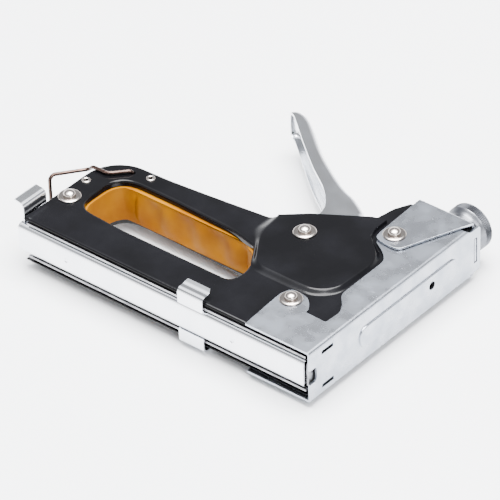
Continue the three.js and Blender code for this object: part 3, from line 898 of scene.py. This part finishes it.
# ----------------------------------------------------------------------------------------------------------
# Lever and drive
# ----------------------------------------------------------------------------------------------------------
@dataclass
class Lever:
    """The squeeze lever: a sheet channel, open towards the hand and closed over its round tip."""

    half: float = 8.4
    sheet: float = 1.3
    fold: float = 3.4
    arm_tip: Point = (-18.86, 53.06)
    arm_end: float = 3.0
    tip_taper: float = 0.12
    taper_span: Point = (92.0, 138.0)
    back: list[Point] = field(
        default_factory=lambda: [
            (-46, 90), (-48.2, 97.5), (-57.6, 103.8), (-64.7, 106.6), (-73.1, 110.9), (-91, 122.5),
            (-106.9, 135.4), (-113.8, 140.5), (-118.6, 142.4), (-122.5, 142.1), (-124.9, 139.8),
        ]
    )
    hand: list[Point] = field(
        default_factory=lambda: [
            (-120, 137.1), (-114.6, 132.7), (-102.4, 122.4), (-87, 110.2), (-74.5, 101.4), (-66.1, 92.8),
            (-63.2, 86), (-61.8, 76), (-61.5, 66),
        ]
    )

    def fold_rule(self, line: Sequence[Point], half: float) -> Callable[[Vector], bool]:
        """Returns a test for places on the long folds between the web and both cheeks."""
        return lambda spot: abs(spot.z) > half - 0.01 and near(spot, line)

    def build(self) -> None:
        """Folds the channel, drills its pivot and rounds its lifting end."""
        x, y = self.arm_tip
        back, hand = through(self.back), through(self.hand)
        arm = [
            (-61.5, 66), (-59, 59.5, 3), (-52, 57.8, 2), (x - 6, y - 2.6), (x, y), (x - 6, y + 4),
            (-41, 68.5, 4), (-44, 80), (-46, 90),
        ]
        cheek = [*back, *hand, *rounded(arm, 4, False)[1:-1]]
        piece = blank("squeeze_lever", cheek, -self.half, self.half)
        bend_edges(piece, self.fold_rule(back[2:], self.half), self.fold, 6)
        lift = turned("lift", [(self.arm_end, -self.half), (self.arm_end, self.half)], (x, y, 0), sides=40)
        combine(piece, [lift], Join.FUSE)
        web = inset(back, self.sheet, False)
        inner = self.half - self.sheet
        hollow = [*web, (-135, 130), (-75, 40), (0, 40), (0, 70), (-40, 90)]
        channel = blank("channel", hollow, -inner, inner)
        bend_edges(channel, self.fold_rule(web[2:], inner), self.fold - self.sheet, 6)
        combine(piece, [channel, bore(*RIVETS["pivot"][:2], SHANK + 0.3)], Join.CUT)
        round_edges(piece, 0.25, 2, 55)
        move_points(piece, self.tapered)
        dress(piece, LEVER_CHROME, "lever", ["lever"], 40)

    def tapered(self, spot: Vector) -> Vector:
        """Narrows the lever towards its tip."""
        low, high = self.taper_span
        share = min(max((spot.y - low) / (high - low), 0), 1)
        return Vector((spot.x, spot.y, spot.z * (1 - self.tip_taper * share)))


@dataclass
class Knob:
    """The knurled tension knob on its stepped neck."""

    knurls: int = 76
    depth: float = 0.32
    band: Point = (123.5, 127.3)
    profile: list[Point] = field(
        default_factory=lambda: [
            (3.2, 114.5), (5.7, 114.5), (6.0, 114.8), (6.6, 115.3), (8.4, 116.0), (8.8, 116.5), (9.0, 118.5),
            (9.2, 120.9), (9.5, 121.5), (10.3, 122.6), (10.8, 123.1), (10.95, 123.4), (11, 123.6),
            (11, 127.2), (10.9, 127.5), (10.6, 127.8), (10.3, 127.9), (7.6, 127.9), (7.3, 127.6),
            (5.2, 127.6), (4.9, 127.9), (3.2, 127.9), (3.2, 114.5),
        ]
    )

    def build(self) -> None:
        """Turns the knob and rolls the knurl into its rim."""
        piece = turned("tension_knob", self.profile, (SPRING_X, 0, 0), Axis.Y, self.knurls * 4, ring=True)
        move_points(piece, self.knurled)
        dress(piece, KNOB_METAL, "adjuster", ["knob"], 28)

    def knurled(self, spot: Vector) -> Vector:
        """Presses grooves into the rim."""
        if not self.band[0] <= spot.y <= self.band[1]:
            return spot
        arm = Vector((spot.x - SPRING_X, spot.z))
        wave = 0.5 - 0.5 * math.cos(math.atan2(arm.y, arm.x) * self.knurls)
        arm *= 1 - self.depth * wave / arm.length
        return Vector((SPRING_X + arm.x, spot.y, arm.y))


@dataclass
class Springs:
    """The main spring over the plunger and the long spring behind the pusher."""

    main_ends: Point = (61.3, 98.7)
    main_radius: float = 6.1
    main_turns: float = 7
    main_wire: float = 0.95
    main_anchor: float = 100.0
    main_keep: float = 16.5 / 40
    pusher_ends: Point = (-160.0, -61.0)
    pusher_radius: float = 2.1
    pusher_turns: float = 30
    pusher_wire: float = 0.4
    pusher_anchor: float = -160.7
    pusher_keep: float = 0.44
    rod_y: float = 7.0

    @staticmethod
    def helix(ends: Point, radius: float, turns: float, steps: int) -> list[tuple[float, float, float]]:
        """Returns (place along the axis, across, up) points of a coil."""
        count = int(turns * steps)
        points = []
        for step in range(count + 1):
            t = step / count
            angle = 2 * math.pi * turns * t
            along = ends[0] + (ends[1] - ends[0]) * t
            points.append((along, radius * math.cos(angle), radius * math.sin(angle)))
        return points

    def build(self) -> None:
        """Winds both springs, dresses them and gives each a mesh of its own."""
        coil = self.helix(self.main_ends, self.main_radius, self.main_turns, 20)
        main = wire("spring_main", [Vector((SPRING_X + b, a, c)) for a, b, c in coil], self.main_wire)
        dress(main, SPRING_STEEL, "frame", ["main_spring"], 60)
        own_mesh(main)
        coil = self.helix(self.pusher_ends, self.pusher_radius, self.pusher_turns, 12)
        line = [Vector((a, self.rod_y + b, c)) for a, b, c in coil]
        push = wire("spring_pusher", line, self.pusher_wire)
        dress(push, SPRING_STEEL, "magazine_cover", ["pusher_spring"], 60)
        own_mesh(push)


# ----------------------------------------------------------------------------------------------------------
# Magazine
# ----------------------------------------------------------------------------------------------------------
@dataclass
class Magazine:
    """The bright cover along the base with its thumb ears, and the pull tab behind it."""

    front: float = -3.4
    back: float = -163.3
    half: float = 7.3
    sheet: float = 0.8
    wall: float = 8.0
    play: float = 0.3
    ears: Point = (-72.0, -58.2)
    dimples: tuple[float, ...] = (-135.7, -42.5)

    def cover(self) -> bpy.types.Object:
        """Folds the cover's trough and joins its end wall and ears."""
        side = self.half - self.sheet / 2
        low = self.sheet / 2
        line = rounded([(-side, self.wall), (-side, low, 2.4), (side, low, 2.4), (side, self.wall)], 6, False)
        piece = blank("cover_strip", ribbon(line, self.sheet), self.back, self.front, Axis.X)
        half = self.half
        end = rounded([(-half, 0, 2.8), (half, 0, 2.8), (half, 13.5, 2), (-half, 13.5, 2)])
        combine(piece, [blank("end", end, self.back, self.back + 1, Axis.X)], Join.FUSE)
        ear = self.ear()
        combine(piece, [mirrored(ear, "ear_left"), ear], Join.FUSE)
        dent = [(1.25, -0.4), (1.15, 0.0), (0.85, 0.22), (0.45, 0.36), (0.1, 0.4)]
        dents = [turned("dent", dent, (x, 0, 0), Axis.Y, 24) for x in self.dimples]
        return combine(piece, dents, Join.CUT)

    def ear(self) -> bpy.types.Object:
        """Curls one thumb ear up past the shell and rounds its corners."""
        back, front = self.ears
        line = rounded([(6.9, 0.4), (14.0, 0.4, 2.6), (14.1, 4.6, 2.2), (15.7, 6.7)], 6, False)
        ear = blank("ear", ribbon(line, self.sheet), back, front, Axis.X)
        trim = [(back, -1), (front, -1), (front, 7.2, 3.2), (back, 7.2, 3.2)]
        return combine(ear, [blank("trim", rounded(trim, 8), -1, 20)], Join.TRIM)

    def tab(self) -> bpy.types.Object:
        """Folds the pull tab: an upright web and a flange with a curled edge."""
        line = rounded([(-6, -161.4), (16.8, -161.4, 2.2), (16.8, -167, 1.2), (16.5, -167.6)], 6, False)
        piece = blank("pull_tab", ribbon(line, self.sheet), 2, 17.4, Axis.Y)
        trim = rounded([(-168.4, 3.4, 1.5), (-160, 2, 0.5), (-160, 16.6, 0.5), (-168.4, 17.4, 1.5)], 6)
        combine(piece, [blank("trim", trim, -7, 18)], Join.TRIM)
        across = (self.half - self.sheet - self.play, self.half + self.play)
        slot = block("slot", (-163, -160), (0, self.wall + self.play), across)
        return combine(piece, [slot], Join.CUT)

    def build(self) -> None:
        """Builds the cover and the pull tab."""
        cover = self.cover()
        round_edges(cover, 0.12, 2, 55)
        dress(cover, CHROME, "magazine_cover", ["magazine_cover"])
        tab = self.tab()
        round_edges(tab, 0.15, 2, 55)
        dress(tab, LEVER_CHROME, "magazine_cover", ["rear_pull_tab"])


@dataclass
class Bail:
    """The wire lock bail at the rear."""

    radius: float = 0.85
    bend: float = 2.2
    side: list[tuple[float, float, float]] = field(
        default_factory=lambda: [
            (-144.4, 54.9, 9), (-144.4, 54.9, 12.9), (-151.8, 46.8, 12.9), (-160.6, 46.7, 12.9),
            (-163.6, 48.2, 9.4), (-174.2, 35.4, 9), (-174.4, 33.4, 7.6),
        ]
    )

    def build(self) -> None:
        """Bends the wire from one shell round to the other."""
        other = [(x, y, -z) for x, y, z in reversed(self.side)]
        piece = wire("bail_wire", bent([*self.side, *other], self.bend), self.radius)
        dress(piece, SPRING_STEEL, "lock_bail", ["lock_bail"], 60)


# ----------------------------------------------------------------------------------------------------------
# Fasteners
# ----------------------------------------------------------------------------------------------------------
@dataclass
class Fasteners:
    """Four rivets with a washer on each side, and two eyelets."""

    floor: float = -16.3
    hair: float = 0.1
    washer: float = 5.2
    washer_thick: float = 0.8
    dome: float = 2.9
    dome_height: float = 2.2

    def rivet(self, name: str, x: float, y: float, surface: float) -> None:
        """Turns a rivet: a domed right head, the shank and a flat left head."""
        start = surface + 2 * self.hair + self.washer_thick
        dome = [
            (self.dome * math.cos(t), start + 0.5 + (self.dome_height - 0.5) * math.sin(t))
            for t in (math.radians(9 * step) for step in range(10))
        ]
        profile = [
            (2.5, self.floor), (2.9, self.floor + 0.15), (3, self.floor + 0.5), (3, -start), (SHANK, -start),
            (SHANK, start), (self.dome - 0.1, start), *dome,
        ]
        piece = turned(f"{name}_rivet_turned", profile, (x, y, 0), sides=40)
        dress(piece, NICKEL, "frame", [f"{name}_rivet"], 40)

    def ring(self, x: float, y: float, surface: float, name: str) -> bpy.types.Object:
        """Stamps a washer with a rounded rim."""
        low, thick, out = surface + self.hair, self.washer_thick, self.washer
        profile = [
            (SHANK + 0.2, low), (out - 0.15, low), (out, low + 0.15), (out, low + 0.35),
            (out - 0.25, low + 0.62), (out - 0.6, low + thick - 0.03), (out - 1.0, low + thick),
            (SHANK + 0.2, low + thick), (SHANK + 0.2, low),
        ]
        return turned(name, profile, (x, y, 0), sides=48, ring=True)

    def eyelet(self, name: str, x: float, y: float) -> None:
        """Rolls an eyelet: a tube with a round rim on both sides."""
        seat = SHELL_OUT + self.hair
        rim = [(0.85, 0.1), (1.1, 0.4), (1.5, 0.52), (1.9, 0.4), (2.1, 0.12), (2.1, 0), (1.4, 0)]
        right = [(radius, seat + height) for radius, height in rim]
        left = [(radius, -seat - height) for radius, height in reversed(rim)]
        piece = turned(name, [*right, *left, right[0]], (x, y, 0), sides=28, ring=True)
        dress(piece, NICKEL, "frame", [name.replace("rolled_", "")], 60)

    def build(self) -> None:
        """Builds and dresses every fastener."""
        for name, (x, y, surface) in RIVETS.items():
            self.rivet(name, x, y, surface)
            right = self.ring(x, y, surface, f"{name}_washer_1")
            left = mirrored(right, f"{name}_washer_2")
            dress(right, NICKEL, "frame", [f"{name}_washer_right"])
            dress(left, NICKEL, "frame", [f"{name}_washer_left"])
        for index, (x, y) in enumerate(EYELETS, 1):
            self.eyelet(f"rolled_eyelet_{index}", x, y)


# ----------------------------------------------------------------------------------------------------------
# Studio
# ----------------------------------------------------------------------------------------------------------
@dataclass
class Studio:
    """A white table, soft lights and a long-lens camera."""

    aim: tuple[float, float, float] = (-38.512, 9.307, 43.815)
    eye: tuple[float, float, float] = (914.138, -1094.220, 1115.581)
    roll: float = -1.959
    lens: float = 313.41

    def table(self) -> None:
        """Lays the pale floor."""
        alone()
        bpy.ops.mesh.primitive_plane_add(size=6, location=(0, 0, 0))
        floor = bpy.context.object
        floor.name = "floor"
        white = Finish(
            "white_table", (0.88, 0.885, 0.895), (0.86, 0.87, 0.885), 0.16, 0.2,
            metallic=0.0, patch=300, grain=8, relief=0.002,
        )
        floor.data.materials.append(white.material())

    def lamp(self, name: str, place: tuple[float, float, float], width: float, power: float) -> None:
        """Hangs a square soft box that faces the gun.

        Args:
            name: its name.
            place: its place in metres.
            width: its width in metres.
            power: its power in watts.
        """
        light = bpy.data.lights.new(name, "AREA")
        light.energy = power
        light.shape = "RECTANGLE"
        light.size = width
        light.size_y = width
        lamp = bpy.data.objects.new(name, light)
        bpy.context.scene.collection.objects.link(lamp)
        lamp.location = place
        lamp.rotation_euler = (Vector((0, 0, 0)) - lamp.location).to_track_quat("-Z", "Y").to_euler()

    def sky(self) -> None:
        """Lights the room: bright above and darker near the horizon, so that bright metal has contrast."""
        world = bpy.data.worlds.new("room")
        world.use_nodes = True
        tree = world.node_tree
        ways = tree.nodes.new("ShaderNodeTexCoord")
        split = tree.nodes.new("ShaderNodeSeparateXYZ")
        tree.links.new(ways.outputs["Generated"], split.inputs["Vector"])
        shade = ramp(tree, split.outputs["Z"], 0.0, 1.0)
        for place, level in ((0.2, 0.5), (0.44, 0.13), (0.7, 0.13), (0.86, 0.9)):
            shade.color_ramp.elements.new(place).color = (level, level * 1.02, level * 1.06, 1)
        shade.color_ramp.elements[0].color = (1, 1, 1, 1)
        shade.color_ramp.elements[-1].color = (1, 1, 1, 1)
        tree.links.new(shade.outputs["Color"], tree.nodes["Background"].inputs["Color"])
        tree.nodes["Background"].inputs["Strength"].default_value = 4.0
        bpy.context.scene.world = world

    def camera(self) -> None:
        """Places the camera and rolls it about its line of sight."""
        data = bpy.data.cameras.new("camera")
        data.lens = self.lens
        data.sensor_width = 36
        data.clip_end = 20
        camera = bpy.data.objects.new("camera", data)
        bpy.context.scene.collection.objects.link(camera)
        eye, aim = at(*self.eye), at(*self.aim)
        look = (aim - eye).to_track_quat("-Z", "Y").to_matrix()
        turn = look @ Matrix.Rotation(math.radians(self.roll), 3, "Z")
        camera.matrix_world = Matrix.Translation(eye) @ turn.to_4x4()
        bpy.context.scene.camera = camera

    def build(self) -> None:
        """Sets up the table, the lights and the camera."""
        self.table()
        self.sky()
        self.lamp("overhead", (0.0, 0.1, 1.6), 1.3, 170.0)
        self.lamp("fill", (1.0, -0.5, 0.9), 0.6, 14.0)
        self.camera()


# ----------------------------------------------------------------------------------------------------------
# The whole gun
# ----------------------------------------------------------------------------------------------------------
CAD_FINISHES: dict[str, Finish] = {
    "adjusting_screw": TOOL_STEEL, "front_spacer": TOOL_STEEL, "rear_spacer": TOOL_STEEL,
    "lever_bush": TOOL_STEEL, "lever_spacer_left": TOOL_STEEL, "lever_spacer_right": TOOL_STEEL,
    "magazine_channel": TOOL_STEEL, "plunger": TOOL_STEEL, "pusher": TOOL_STEEL, "pusher_rod": TOOL_STEEL,
    "spring_seat": TOOL_STEEL, "staple_rail": TOOL_STEEL, "striker_blade": TOOL_STEEL, "staple_strip": CHROME,
}


def dress_frame() -> None:
    """Gives each CAD node that stays in view a finish."""
    for name, finish in CAD_FINISHES.items():
        for material_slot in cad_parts[name].material_slots:
            material_slot.material = finish.material()
        LOG.info("%s: the frame's own solid, %s", name, finish.name)


def main() -> None:
    """Builds the gun from its frame outwards, then the studio."""
    logging.basicConfig(level=logging.INFO, format="%(name)s %(message)s")
    for part in (Body(), Nose(), Lever(), Knob(), Springs(), Magazine(), Bail(), Fasteners()):
        LOG.info("building %s", type(part).__name__)
        part.build()
    dress_frame()
    Studio().build()
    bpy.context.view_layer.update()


if __name__ == "__main__":
    main()
